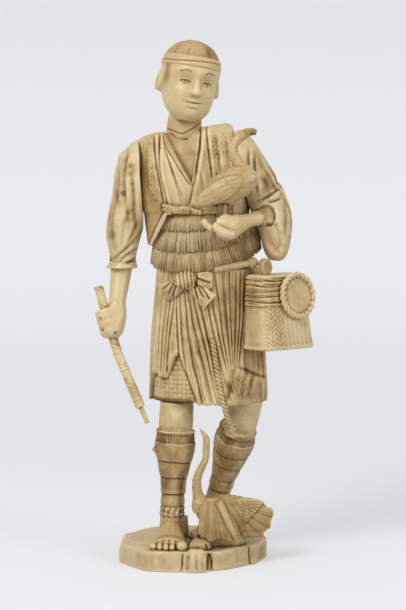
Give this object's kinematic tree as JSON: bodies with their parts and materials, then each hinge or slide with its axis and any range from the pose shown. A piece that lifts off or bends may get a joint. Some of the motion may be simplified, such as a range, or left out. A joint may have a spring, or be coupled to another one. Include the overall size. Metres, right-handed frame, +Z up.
{
  "type": "okimono carving",
  "caption": "Carved standing fisherman in pegged sections, with a bird on the hand, a creel at the hip, a stick that turns in the bored fist and a bird at the feet, on an oval base.",
  "frame": {"origin": "centre of the base's underside", "axes": "+Z up, the figure faces -Y, +X towards its left hand"},
  "size_m": [0.1097, 0.0752, 0.2581],
  "materials": {
    "pale_ivory": "aged carved ivory-like material, semi-gloss, brown stain in the recesses",
    "robe_ivory": "aged carved ivory-like material, semi-gloss, brown stain in the recesses",
    "stained_ivory": "aged carved ivory-like material, semi-gloss, brown stain in the recesses",
    "ground_ivory": "aged carved ivory-like material, semi-gloss, brown stain in the recesses",
    "peg_ivory": "aged carved ivory-like material, semi-gloss, brown stain in the recesses"
  },
  "bodies": {
    "figure": {"head": "pale_ivory", "right_hand": "pale_ivory", "left_hand": "pale_ivory", "right_foot": "pale_ivory", "left_foot": "pale_ivory", "held_bird": "pale_ivory", "creel_toggle": "pale_ivory", "torso": "robe_ivory", "vest_flap": "robe_ivory", "right_sleeve": "robe_ivory", "left_sleeve": "robe_ivory", "kilt": "robe_ivory", "sash_bow": "robe_ivory", "braided_cord": "robe_ivory", "straw_apron": "stained_ivory", "right_leg": "stained_ivory", "left_leg": "stained_ivory", "creel": "stained_ivory", "creel_tray": "stained_ivory", "pipe_case": "stained_ivory", "base": "ground_ivory", "standing_bird": "ground_ivory", "base_pegs": "peg_ivory", "ankle_pegs": "peg_ivory", "hip_pegs": "peg_ivory", "waist_peg": "peg_ivory", "chest_peg": "peg_ivory", "neck_peg": "peg_ivory", "shoulder_pegs": "peg_ivory", "cuff_peg": "peg_ivory", "creel_peg": "peg_ivory", "creel_pins": "peg_ivory"},
    "stick": {"stick": "stained_ivory", "stick_tip": "pale_ivory"}
  },
  "joints": [
    {"name": "stick_turn", "type": "hinge", "parent": "figure", "child": "stick", "pos_m": [-0.0422, -0.009, 0.1195], "axis": [-0.2808, 0.1501, 0.948], "continuous": true}
  ]
}
